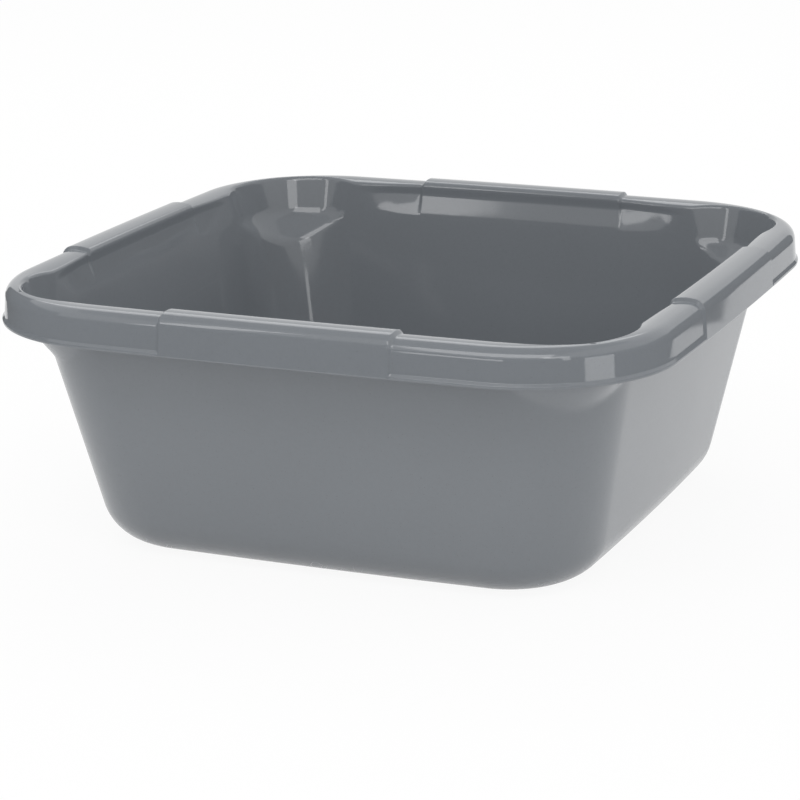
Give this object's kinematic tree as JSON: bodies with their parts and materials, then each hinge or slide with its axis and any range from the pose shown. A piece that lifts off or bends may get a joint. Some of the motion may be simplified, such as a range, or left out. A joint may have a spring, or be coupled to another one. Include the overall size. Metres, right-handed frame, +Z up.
{
  "type": "washing up bowl",
  "caption": "Square tapered washing up bowl moulded in plain grey plastic, with a rolled rim, a raised grip on each side and a rounded pouring corner at each corner.",
  "frame": {"origin": "the middle of the underside, at the level of the foot edge that the bowl stands on", "axes": "+Z up; +X and +Y point through the middles of two neighbouring sides, and all four sides are alike"},
  "size_m": [0.38, 0.38, 0.15],
  "materials": {
    "plastic": "glossy moulded polypropylene, cool mid grey all the way through"
  },
  "bodies": {
    "root": {"bowl": "plastic"}
  },
  "joints": []
}
